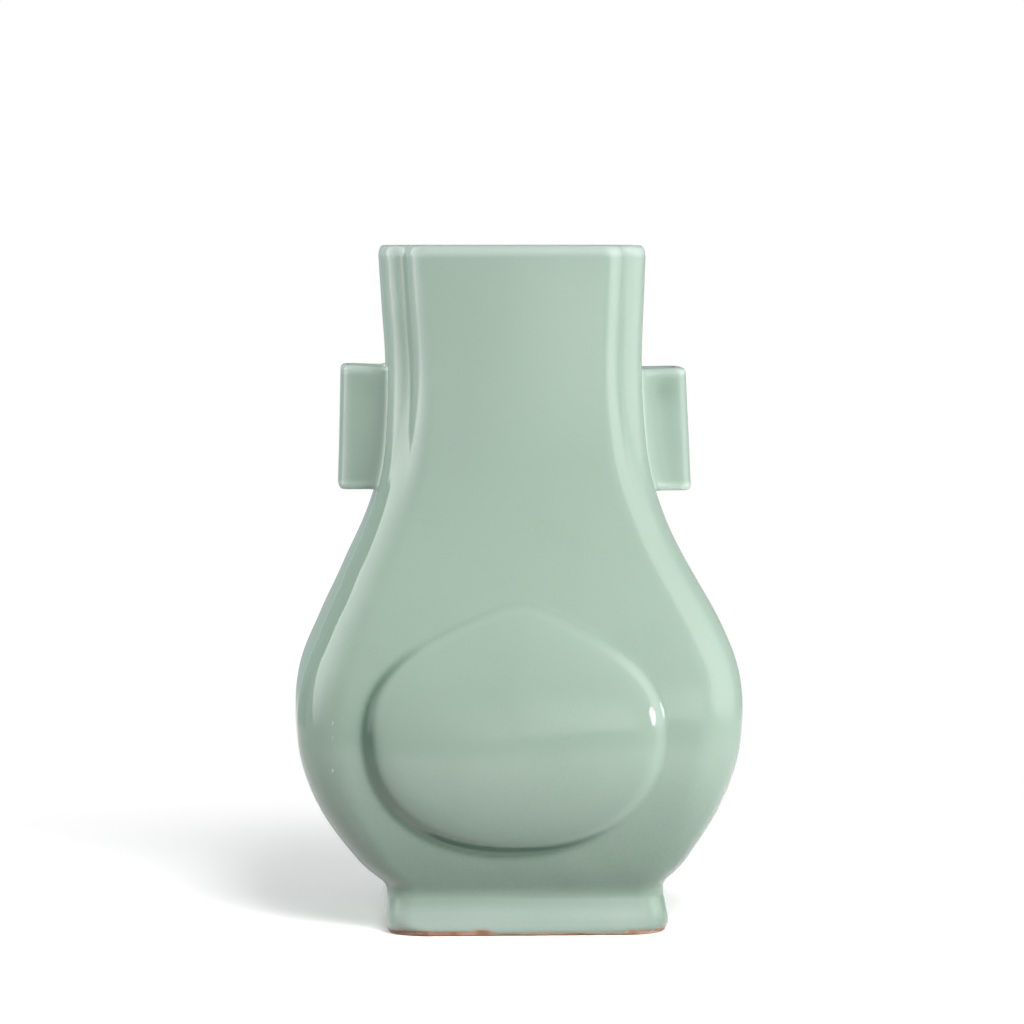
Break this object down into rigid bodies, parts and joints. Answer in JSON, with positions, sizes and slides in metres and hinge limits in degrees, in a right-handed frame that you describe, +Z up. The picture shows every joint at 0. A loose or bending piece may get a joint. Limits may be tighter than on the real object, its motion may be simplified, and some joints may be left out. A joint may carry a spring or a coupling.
{
  "type": "hu vase",
  "caption": "Square-bodied celadon hu vase with a notched neck, peach-shaped bosses, tubular lug handles and an iron-dressed foot rim.",
  "frame": {"origin": "on the table under the middle of the body, at the bottom centre of the bounding box", "axes": "+Z up, X across the broad face with +X at the right as seen from the front, +Y towards the back"},
  "size_m": [0.1944, 0.1626, 0.3],
  "materials": {
    "celadon_glaze": "glossy pale blue-green celadon glaze, thin and paler on lips and edges",
    "handle_glaze": "glossy pale blue-green celadon glaze, pooled where the handle meets the neck",
    "foot_glaze_and_iron_rim": "celadon glaze that stops short of the foot rim, which is bare and dressed iron-orange"
  },
  "bodies": {
    "root": {"front_wall": "celadon_glaze", "back_wall": "celadon_glaze", "left_wall": "celadon_glaze", "right_wall": "celadon_glaze", "floor_slab": "celadon_glaze", "foot_front": "foot_glaze_and_iron_rim", "foot_back": "foot_glaze_and_iron_rim", "foot_left": "foot_glaze_and_iron_rim", "foot_right": "foot_glaze_and_iron_rim", "left_handle": "handle_glaze", "right_handle": "handle_glaze"}
  },
  "joints": []
}
